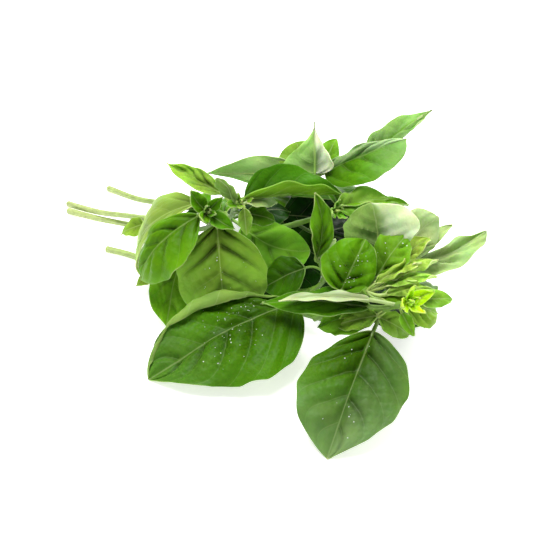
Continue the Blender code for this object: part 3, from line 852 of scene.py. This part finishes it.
BACK = LeafyStem(
    "back_leafy_stem", "sprig_back",
    [
        [(-99, 120, 1.5), (-75, 98, 8), (-42, 81, 18), (-8, 58, 38), (16, 42, 60)],
        [(6, 48.7, 50.2), (22, 50, 58), (36, 45, 66)],
    ],
    [
        Leaf("back_left", Tone.BRIGHT, 0.97, (13, 41, 64), (-35, 48, 60), (0, 1, -0.1), (0.42, 0.24), 0,
             twist=40, quilt=0.4),
        Leaf("back_up", Tone.VIVID, 0.98, (20.5, 36, 68), (20, 47, 92), (0.1, 0.9, 0.1), (0.75, 1.3), 0.03,
             curl=(-35, -15), shape=(0.4, 2.2, 0.4, 2.2), quilt=1.4, painted_sheen=(0.75, 0, 0.2)),
        Leaf("back_lit", Tone.LIT, 0.98, (16, 44, 64.5), (11, 54, 75.6), (0.2, -0.9, 0.6), (1.6, 1.6), 0.05,
             shape=(0.6, 0.6, 0.6, 0.6), quilt=1.2),
        Leaf("back_right", Tone.FRESH, 0.98, (25, 46, 65), (32, 57, 75.2), (-0.3, -0.8, 0.6), (0.9, 0.7)),
        Leaf("far_right", Tone.MATURE, 0.98, (26, 40, 66), (66, 37, 88), (-0.3, -0.55, 0.8), (0.26, 0.78),
             0.04, fold=(20, 24), shape=(0.62, 0.95, 0.42, 0.4), quilt=1.6, painted_sheen=(0.2, 0, 0.1)),
        Leaf("far_tip", Tone.FRESH, 0.9, (48, 43, 75), (80.5, 56, 93.5), (-0.2, -0.4, 0.9), (0.5, 0.2), 0,
             shape=(0.55, 1.2, 0.62, 1.2), on=1, quilt=1.8, painted_sheen=(0.12, 0.12, 0)),
        Leaf("back_ground", Tone.SHADE, 0.45, (-34, 76, 18), (-8, 92, 0.2), (0, 0, 1), (0.62, 0.52), 0.08,
             quilt=0.4),
        Leaf("back_low", Tone.DEEP, 0.62, (-12, 70, 28), (25, 96, 8), (0, 0, 1), (0.85, 0.85), 0.08,
             quilt=0.4),
        Leaf("back_low_right", Tone.DEEP, 0.8, (8, 58, 40), (46, 90, 12), (0, 0.2, 1), (0.85, 0.85), 0.1),
        Leaf("back_low_near", Tone.SHADE, 0.75, (4, 53, 30), (48, 68, 16), (0, -0.8, 0.5), (0.8, 0.8), 0.06,
             quilt=0.4),
    ],
)

RIGHT = LeafyStem(
    "right_leafy_stem", "sprig_right",
    [[(-66, 55, 4), (-34, 50, 12), (4, 30, 38), (30, 16, 58)]],
    [
        Leaf("right_upper", Tone.LIT, 0.97, (32, 17, 59.5), (57, 22, 61.5), (0, -0.5, 0.9), (0.7, 0.6), 0.1,
             quilt=1.8),
        Leaf("right_lower", Tone.FRESH, 0.97, (34, 17, 61), (68, 24, 56), (0, 0, 1), (0.4, 0.4), 0.05,
             fold=(40, 38), quilt=1.6),
        Leaf("right_behind", Tone.DEEP, 0.95, (33, 20, 58), (60, 48, 42), (0, 0.2, 1), (0.9, 0.7), 0.12),
        Leaf("shade_right", Tone.SHADE, 0.75, (26, 28, 36), (54, 58, 12), (0, -0.2, 1), (0.9, 0.9), 0.1),
        Leaf("shade_left", Tone.SHADE, 0.45, (-14, 40, 20), (14, 59, 13), (0, -0.4, 0.9), (0.7, 0.54), 0.1,
             quilt=0.4),
        Leaf("shade_drop", Tone.SHADE, 0.68, (10, 25, 28), (14, 7, 5), (0, -0.7, 0.7), (0.9, 0.9), 0.1),
        Leaf("shade_mid", Tone.SHADE, 0.62, (10, 30, 26), (33, 45, 4), (0, -0.2, 1), (0.6, 0.6), 0.1),
        Leaf("shade_low", Tone.SHADE, 0.5, (11, 24, 20), (43, 53, 12), (0, -0.2, 1), (0.7, 0.7), 0.1),
    ],
    [(0, 0.4, 0)],
)

INNER = LeafyStem(
    "inner_leafy_stem", "sprig_inner",
    [[(-63, 46, 10), (-24, 22, 10), (12, -1, 20), (24, -10, 34), (22, -13, 50)]],
    [
        Leaf("spear", Tone.MATURE, 0.98, (20, -14, 51), (19, -5, 84), (0.3, -0.9, 0.3), (0.4, 0.36), 0.05,
             0.08, fold=(35, 35), shape=(0.95, 0.95, 0.9, 0.95), quilt=1.6),
        Leaf("spear_side", Tone.PALE, 0.98, (22, -12, 50), (30, -5, 56), (0, -0.5, 0.8), (0.5, 0.5)),
        Leaf("inner_dark", Tone.DEEP, 0.85, (15, -2, 36), (-6, 1, 20), (0, -0.5, 0.8), (0.8, 0.8), 0.1,
             quilt=1.6),
        Leaf("low_left", Tone.DEEP, 0.76, (10, -13.5, 23.5), (-62, -46, 0.2), (-0.1, -0.35, 0.95),
             (0.84, 0.66), 0.08, shape=(0.53, 0.95, 1, 0.7), roll=(0, 260), quilt=1.4, painted_sheen=(0, 0, 0.02)),
        Leaf("shade_under", Tone.SHADE, 0.4, (-12, 19, 9), (10, 22, 3), (0, -0.5, 0.8), (0.75, 0.75), 0.1),
        Leaf("shade_inner", Tone.SHADE, 0.6, (24, -2, 20), (53, 19, 4), (0, -0.2, 1), (0.65, 0.65), 0.1),
    ],
)

FRONT = LeafyStem(
    "front_leafy_stem", "sprig_front",
    [
        [(-94, 60, 1.5), (-74, 51, 1.6), (-13, 14, 5), (30, -22, 18), (50, -40, 40), (62, -48, 51)],
        [(20, -14, 13), (36, -26, 32), (44, -34, 47)],
    ],
    [
        Leaf("outer_up", Tone.MATURE, 0.93, (32, -30, 44), (44, -13, 62), (-0.15, -0.8, 0.6), (1.15, 0.9),
             0.1, shape=(0.5, 0.7, 0.5, 0.7), on=1, quilt=3.2),
        Leaf("outer_up_right", Tone.FRESH, 0.96, (49, -25, 48), (64.5, -9, 62), (-0.4, -0.7, 0.6),
             (0.75, 0.75), 0.1, shape=(0.6, 0.7, 0.6, 0.7), on=1, quilt=3.2),
        Leaf("outer_left", Tone.PALE, 0.93, (45, -42, 48), (2, -31, 38), (0, 0.3, 0.95), (0.28, 0.28), 0.05,
             quilt=0.6, painted_sheen=(0.2, 0.2, 0)),
        Leaf("pale_left", Tone.FRESH, 0.9, (51, -12, 53), (47, -4, 77), (0.1, 0.8, 0.3), (1.7, 1.35), 0.1,
             fold=(5, 12), curl=(-12, -25), shape=(0.6, 0.55, 0.62, 0.8), on=1, quilt=1.8,
             painted_sheen=(0.55, 0, 0)),
        Leaf("pale_right", Tone.PALE, 0.92, (61, -7, 50), (81, 6, 62), (-0.35, 0.85, -0.35), (0.95, 1.05),
             0.05, fold=(5, 5), curl=(-14, -10), shape=(0.6, 0.7, 0.6, 0.7), on=1, quilt=2,
             painted_sheen=(0.05, 0.05, 0)),
        Leaf("far_right_tip", Tone.PALE, 0.93, (57, -17, 48), (107, 11, 50), (0, -0.3, 0.9), (0.16, 0.34),
             -0.02, 0.06, shape=(0.62, 0.9, 0.7, 0.65), on=1, quilt=2),
        Leaf("grey_tip", Tone.PALE, 0.93, (66, -4, 44), (90, 15, 50), (0, -0.3, 0.9), (0.3, 0.3), 0.1, on=1),
        Leaf("fan_a", Tone.BRIGHT, 0.95, (51, -29, 48), (80, -12, 48), (0, -0.3, 0.9), (0.24, 0.24), 0.1,
             fold=(30, 30), on=1, quilt=2.6),
        Leaf("fan_b", Tone.SUNNY, 0.97, (52, -33, 48.5), (79, -19, 43), (0, -0.3, 0.9), (0.24, 0.24), 0.1,
             fold=(30, 30), on=1, quilt=2.6),
        Leaf("fan_c", Tone.BRIGHT, 0.99, (53, -37, 47), (78, -25, 40), (0, -0.3, 0.9), (0.26, 0.26), 0.1,
             fold=(30, 30), on=1, quilt=2.6),
        Leaf("fan_d", Tone.BRIGHT, 0.99, (48, -33, 50.5), (71, -20, 53), (0, -0.3, 0.9), (0.24, 0.24), 0.1,
             fold=(30, 30), on=1, quilt=2.6),
        Leaf("front_left", Tone.DEEP, 0.9, (45, -41, 43), (-6, -23, 30), (0, -0.3, 1), (0.3, 0.3), 0.05),
        Leaf("front_low_left", Tone.FRESH, 0.85, (47, -40, 37), (21, -32, 22.5), (0, -0.5, 0.8), (0.56, 0.56),
             0.1, quilt=2.2),
        Leaf("front_low_small", Tone.LIT, 0.85, (49, -42, 38), (29, -38, 28), (0, -0.5, 0.8), (0.5, 0.5), 0.1,
             quilt=2),
        Leaf("front_low_right", Tone.LIT, 0.85, (50, -42, 37), (65, -39, 23), (0, -0.5, 0.8), (0.6, 0.6), 0.1,
             quilt=2),
        Leaf("front_hanging", Tone.DEEP, 0.83, (47, -45, 30), (24, -100, 0.2), (0, -0.4, 0.9), (0.8, 0.76),
             0.1, shape=(0.74, 1, 0.98, 0.84), quilt=1.3, painted_sheen=(0.04, 0, 0.08)),
        Leaf("front_right", Tone.LIT, 0.97, (68, -44, 49), (85, -37, 44), (0, -0.5, 0.8), (0.5, 0.5), 0.1,
             quilt=1.6),
        Leaf("front_right_low", Tone.LIT, 0.93, (62, -43, 44), (79, -33, 32), (0, -0.5, 0.8), (0.7, 0.9), 0.1,
             quilt=2),
        Leaf("front_bit", Tone.YOUNG, 0.95, (60, -47, 44), (66, -52, 34), (0, -0.8, 0.4), (0.5, 0.5), 0.1,
             quilt=1.5),
        Leaf("fan_e", Tone.BRIGHT, 0.95, (52, -24, 48), (77, -1, 54), (0, -0.4, 0.9), (0.36, 0.3), 0.1, on=1,
             quilt=2.8),
        Leaf("fan_low", Tone.FRESH, 0.99, (50, -38, 45.5), (70, -29, 39), (0, -0.4, 0.9), (0.36, 0.36), 0.1,
             on=1, quilt=2.4),
        Leaf("right_ground", Tone.SHADE, 0.6, (50, -8, 24), (82, 24, 0.2), (0, -0.2, 1), (0.6, 0.6), 0.1),
        Leaf("right_under", Tone.MATURE, 0.9, (56, -24, 38), (81, 6, 18), (0, -0.1, 1), (0.62, 0.62), 0.1,
             on=1),
        Leaf("right_low", Tone.DEEP, 0.8, (56, -38, 32), (72, -18, 12), (0, -0.1, 1), (0.7, 0.7), 0.1),
        Leaf("shade_front", Tone.SHADE, 0.75, (42, -22, 23), (74, -3, 16), (0, -0.2, 1), (0.9, 0.9), 0.08),
    ],
    [(0, 0.55, 0)], Tone.BUD,
)

LEAFY_STEMS = (LEFT, MIDDLE, BACK, RIGHT, INNER, FRONT)

# How many drops lie on a leaf
DROP_COUNTS = {"low_left": 80, "outer_up": 26, "outer_up_right": 8, "middle_near": 18, "front_hanging": 14}


def feed(node: bpy.types.Node, inputs: dict[int | str, object]) -> None:
    """Gives a node's inputs their values, or links other sockets to them.

    Args:
        node: the node.
        inputs: a value or a socket for each input, by its place or its name.
    """
    for place, value in inputs.items():
        if isinstance(value, Socket):
            node.id_data.links.new(value, node.inputs[place])
        else:
            node.inputs[place].default_value = value


def add_node(tree: Tree, kind: str, *values: object, named: dict | None = None, **settings: object) -> Socket:
    """Adds a shader node with its settings and links.

    Args:
        tree: the node tree that gets it.
        kind: the node's type, without its first word.
        values: a value, or a socket to link, for each of its first inputs.
        named: the same for inputs given by name.
        settings: what else is set on it.

    Returns:
        The node's first output.
    """
    made = tree.nodes.new("ShaderNode" + kind)
    for name, value in settings.items():
        setattr(made, name, value)
    feed(made, dict(enumerate(values)) | (named or {}))
    return made.outputs[0]


def fresh_material(name: str) -> tuple[Material, NodeMaker, bpy.types.Node, Socket]:
    """Makes a material with nothing but its shader, its output and the places on its piece.

    Args:
        name: what the material is called.

    Returns:
        The material, what adds a node to it, its shader and the socket that gives places.
    """
    made = bpy.data.materials.new(name)
    made.use_nodes = True
    node = partial(add_node, made.node_tree)
    return made, node, made.node_tree.nodes["Principled BSDF"], node("TexCoord").node.outputs["Object"]


@dataclass(frozen=True)
class BladeFinish:
    """One face of a fresh basil leaf: a waxy skin over quilted flesh, with lighter veins and margin."""

    name: str
    dye: str
    vein_share: float
    margin_share: float
    crease_shade: float
    roughness: float
    net_size: float = 2.2
    net_height: float = 0.10
    translucence: float = 0.35
    side_vein_share: float = 0.35
    shine: float = 0.07
    base_shade: float = 0.55
    mottle: float = 0.22
    vein_green: str = "#e4ecb0"

    def build(self) -> Material:
        """Makes the material.

        Returns:
            The material.
        """
        made, node, shader, place = fresh_material(self.name)
        smooth = {"interpolation_type": "SMOOTHSTEP"}
        times = {"operation": "MULTIPLY"}

        # Veins are paler lines, fine at the sides and broader in the middle
        lines = node("Attribute", attribute_name="leaf_lines").node.outputs["Vector"]
        phase, from_midrib, from_margin = node("SeparateXYZ", lines).node.outputs
        off_vein = node("Math", phase, 0.5, operation="PINGPONG")
        side_vein = node("MapRange", off_vein, 0.008, 0.03, self.side_vein_share, 0.0, **smooth)
        middle_vein = node("MapRange", from_midrib, 0.1, 0.5, 1.0, 0.0, **smooth)
        veins = node("Math", side_vein, middle_vein, operation="MAXIMUM")
        vein_share = node("Math", veins, self.vein_share, **times)
        margin = node("MapRange", from_margin, 0.1, 0.5, self.margin_share, 0.0, **smooth)

        # Creases and the blade's base lie in shade, and soft clouds of light and dark are about 20 mm wide
        relief = node("Attribute", attribute_name="leaf_relief").node.outputs["Vector"]
        crease, along, aside = node("SeparateXYZ", relief).node.outputs
        out = node("Math", aside, 0.8, along, operation="MULTIPLY_ADD")
        ground = node("MapRange", out, 0.15, 1.3, self.base_shade, 1.12, **smooth)
        furrow = node("MapRange", crease, 0.05, 0.8, 1.0, self.crease_shade, **smooth)
        flanks = node("Math", furrow, ground, **times)
        clouds = node("TexNoise", named={"Vector": place, "Scale": 45.0, "Detail": 2.0})
        darkest, lightest = 1.0 - self.mottle, 1.0 + 0.6 * self.mottle
        shade = node("MapRange", clouds, 0.32, 0.68, darkest, lightest, **smooth)
        flanks = node("Math", flanks, shade, **times)
        grey = node("CombineColor", flanks, flanks, flanks)

        # The leaf's green, which carries the painted sheen and the painted light and shade of its tone,
        # warmer in patches about 13 mm wide
        patches = node("TexNoise", named={"Vector": place, "Scale": 75.0, "Detail": 3.0})
        patch_share = node("MapRange", patches, 0.35, 0.7, 0.0, 0.45, **smooth)
        dye = node("Attribute", attribute_name=self.dye)
        warmer = node("MixRGB", 1.0, dye, (1.35, 1.12, 0.9, 1.0), blend_type="MULTIPLY")
        colour = node("MixRGB", patch_share, dye, warmer)
        colour = node("MixRGB", 1.0, colour, grey, blend_type="MULTIPLY")
        paler = node("MixRGB", 0.28, dye, linear(self.vein_green))
        colour = node("MixRGB", vein_share, colour, paler)
        colour = node("MixRGB", margin, colour, paler)

        # A net of the finest veins and a skin grain of about 1 mm, both drawn as coarse as they need to show
        scale = {"Vector": place, "Scale": 1000 / self.net_size}
        net = node("TexVoronoi", named=scale, feature="DISTANCE_TO_EDGE")
        cells = node("MapRange", net, 0.0, 0.35, 0.0, 1.0, **smooth)
        skin_grain = node("TexNoise", named={"Vector": place, "Scale": 900.0, "Detail": 2.0})
        height = node("Math", cells, skin_grain, operation="ADD")
        bump = node("Bump", named={"Height": height, "Strength": 0.7, "Distance": self.net_height * MM})
        dullest, glossiest = self.roughness + 0.08, self.roughness - 0.06
        gloss = node("MapRange", patches, 0.3, 0.7, glossiest, dullest, **smooth)
        feed(shader, {
            "Base Color": colour, "Normal": bump, "Roughness": gloss, "Specular IOR Level": self.shine,
            "Subsurface Weight": self.translucence, "Subsurface Radius": (0.5, 1.0, 0.2),
            "Subsurface Scale": 1.5 * MM,
        })
        return made


@dataclass(frozen=True)
class StemFinish:
    """A basil stem's skin: smooth and juicy, paler and yellower towards its cut end, with fine lines."""

    name: str
    cut_end: str
    tip: str
    cut_place: float = -0.11
    tip_place: float = -0.02
    roughness: float = 0.42

    def build(self) -> Material:
        """Makes the material.

        Returns:
            The material.
        """
        made, node, shader, place = fresh_material(self.name)
        streaks = node("TexNoise", named={"Vector": place, "Scale": 300.0, "Detail": 2.0})
        shade = node("MapRange", streaks, 0.3, 0.7, 0.86, 1.08, interpolation_type="SMOOTHSTEP")
        grey = node("CombineColor", shade, shade, shade)
        colour = node("MixRGB", 1.0, self.skin_colour(node, place), grey, blend_type="MULTIPLY")
        bump = node("Bump", named={"Height": streaks, "Strength": 0.5, "Distance": 0.15 * MM})
        feed(shader, {
            "Base Color": colour, "Normal": bump, "Roughness": self.roughness, "Subsurface Weight": 0.4,
            "Subsurface Radius": (0.8, 1.0, 0.4), "Subsurface Scale": 2.0 * MM,
        })
        return made

    def skin_colour(self, node: NodeMaker, place: Socket) -> Socket:
        """Goes from the cut end's colour to the tip's along the bunch.

        Args:
            node: what adds a node to the material.
            place: the socket that gives places on the piece.

        Returns:
            The socket that gives the colour.
        """
        along = node("SeparateXYZ", place)
        ends = (self.cut_place, self.tip_place)
        share = node("MapRange", along, *ends, 0.0, 1.0, interpolation_type="SMOOTHSTEP")
        return node("MixRGB", share, linear(self.cut_end), linear(self.tip))


@dataclass(frozen=True)
class StalkFinish(StemFinish):
    """A leaf stalk's skin: as a stem's, in the green of its own leaf, so that the midrib is the blade's."""

    def skin_colour(self, node: NodeMaker, place: Socket) -> Socket:
        """Takes the green of the leaf, a little more like the stem's near the cut ends."""
        green = node("Attribute", attribute_name="stalk_dye")
        return node("MixRGB", 0.3, green, super().skin_colour(node, place))


@dataclass(frozen=True)
class SpeckledFinish:
    """A wet surface of two colours, mixed by a fine pattern.

    The spread is from where to where the pattern mixes them, and the most that it mixes in.
    """

    name: str
    colours: tuple[str, str]
    pattern: str
    scale: float
    spread: Point
    gloss: dict[str, float]

    def build(self) -> Material:
        """Makes the material.

        Returns:
            The material.
        """
        made, node, shader, place = fresh_material(self.name)
        value = node(self.pattern, named={"Vector": place, "Scale": self.scale})
        low, high, most = self.spread
        share = node("MapRange", value, low, high, 0.0, most, interpolation_type="SMOOTHSTEP")
        feed(shader, {"Base Color": node("MixRGB", share, *map(linear, self.colours)), **self.gloss})
        return made


class BasilFinishes:
    """All the finishes of the bunch."""

    def __init__(self) -> None:
        """Makes each material once."""
        self.upper_face = BladeFinish("basil_leaf_upper_face", "upper_green_and_sheen", 0.4, 0.35, 0.45, 0.42).build()
        self.underside = BladeFinish("basil_leaf_underside", "under_green_and_sheen", 0.8, 0.3, 0.8, 0.55).build()
        self.stalk = StalkFinish("basil_leaf_stalk", "#98b058", "#6c9430").build()
        self.stem = StemFinish("basil_stem", "#acba74", "#6c9430").build()

        # Cut ends are pale pith, its cells drawn 0.4 mm wide, as coarse as they need to show
        self.cut_end = SpeckledFinish(
            "basil_cut_pith", ("#e4efb8", "#b9cf7c"), "TexVoronoi", 2500.0, (0.2, 0.6, 0.4),
            {"Roughness": 0.3},
        ).build()

        # Drops are smooth and round and mostly painted white, a painted glint, with a little clear
        # transmission
        self.water = SpeckledFinish(
            "water_drop_painted_glint", ("#ffffff", "#f0faea"), "TexNoise", 400.0, (0.3, 0.7, 1.0),
            {"Roughness": 0.04, "IOR": 1.333, "Transmission Weight": 0.3},
        ).build()


@dataclass
class WaterDrops:
    """Drops of rinsing water that lie in patches on some leaves, with their radii in millimetres."""

    name: str = "water_drops"
    counts: dict[str, int] = field(default_factory=lambda: dict(DROP_COUNTS))
    least: float = 0.12
    most: float = 0.36
    patches: int = 5
    flatness: float = 0.45

    def build(self, leaves: dict[str, Leaf], finish: Material) -> Thing:
        """Makes the drops as one piece.

        Args:
            leaves: the bunch's leaves by name.
            finish: the drops' material.

        Returns:
            The piece.
        """
        bpy.ops.mesh.primitive_ico_sphere_add(subdivisions=2, radius=1.0)
        drop = bpy.context.object
        ball = places_of(drop.data)
        drops = []
        for name, wanted in self.counts.items():
            leaf = leaves[name]
            chance = seeded(name + " drops")
            patches = chance.uniform((0.2, -0.6), (0.8, 0.6), (self.patches, 2))
            places = patches[chance.integers(0, self.patches, wanted)]
            places = places + chance.normal(0, (0.08, 0.2), (wanted, 2))
            u, v = np.clip(places, (0.08, -0.9), (0.93, 0.9)).T
            sizes = self.least + (self.most - self.least) * chance.uniform(0, 1, wanted) ** 2
            normals = leaf.normal(u, v)
            places = leaf.skin(u, v) + normals * (leaf.quilting(u, v) + BLADE_THICK / 2)[:, None]
            for place, up, size in zip(places, normals, sizes):
                one = drop.copy()
                one.data = drop.data.copy()
                bpy.context.scene.collection.objects.link(one)
                flat = ball - np.outer(ball @ up, up) * self.flatness
                one.data.vertices.foreach_set("co", ((place + flat * size + SHIFT) * MM).ravel())
                drops.append(one)
        bpy.data.objects.remove(drop)
        piece = join(self.name, drops)
        piece.data.shade_smooth()
        dress(piece, finish)
        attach(piece, "root")
        log.info("%s: %d drops", self.name, len(drops))
        return piece


@dataclass
class Studio:
    """The plain white surface, the soft lights and the camera, in metres and watts."""

    target: Point = (0.00747, -0.0105, 0.03)
    elevation: float = 38.0
    distance: float = 0.66
    lens: float = 85.0
    room_light: float = 0.42
    surface_glow: float = 0.6

    def build(self) -> None:
        """Sets the stage."""
        self.floor()
        self.lights()
        self.camera()

    def floor(self) -> None:
        """Lays the white surface, wide enough to fill a low view too."""
        bpy.ops.object.select_all(action="DESELECT")
        bpy.ops.mesh.primitive_plane_add(size=40.0, location=(0, 0, -0.2 * MM))
        ground = bpy.context.object
        ground.name = "white_surface"
        finish, _, shader, _ = fresh_material(ground.name)
        feed(shader, {
            "Base Color": linear("#fafafa"), "Emission Color": (1.0, 1.0, 1.0, 1.0),
            "Emission Strength": self.surface_glow, "Roughness": 0.9,
        })
        dress(ground, finish)

    def lights(self) -> None:
        """Hangs two large soft lights and a white room round the bunch."""
        for name, place, size, power in (
            ("overhead_softbox", (-0.1, 0.05, 1.1), 0.7, 16.0),
            ("back_right_softbox", (0.6, 0.9, 0.7), 0.6, 10.0),
        ):
            bpy.ops.object.light_add(type="AREA", location=place)
            lamp = bpy.context.object
            lamp.name = name
            lamp.data.shape = "DISK"
            lamp.data.size = size
            lamp.data.energy = power
            self.aim(lamp)
        world = bpy.data.worlds.new("white_room")
        world.use_nodes = True
        room = world.node_tree.nodes["Background"]
        room.inputs["Color"].default_value = (1.0, 1.0, 1.0, 1.0)
        room.inputs["Strength"].default_value = self.room_light
        bpy.context.scene.world = world

    def camera(self) -> None:
        """Puts the camera where the photograph was taken from."""
        rise = math.radians(self.elevation)
        back = np.array([0.0, -math.cos(rise), math.sin(rise)])
        bpy.ops.object.camera_add(location=tuple(np.array(self.target) + back * self.distance))
        camera = bpy.context.object
        camera.name = "camera"
        camera.data.lens = self.lens
        camera.data.sensor_width = 36.0
        camera.data.clip_start = 0.01
        self.aim(camera)
        bpy.context.scene.camera = camera

    def aim(self, thing: Thing) -> None:
        """Turns a light or the camera towards the bunch.

        Args:
            thing: what is turned.
        """
        away = Vector(self.target) - thing.location
        thing.rotation_mode = "QUATERNION"
        thing.rotation_quaternion = away.to_track_quat("-Z", "Y")


def main() -> None:
    """Builds the bunch, its drops and the stage."""
    logging.basicConfig(level=logging.INFO, format="%(name)s: %(message)s")
    finishes = BasilFinishes()
    for sprig in LEAFY_STEMS:
        sprig.build(finishes)
    leaves = {leaf.name: leaf for sprig in LEAFY_STEMS for leaf in sprig.leaves}
    WaterDrops().build(leaves, finishes.water)
    Studio().build()
    bpy.context.scene.view_settings.view_transform = "Standard"


if __name__ == "__main__":
    main()
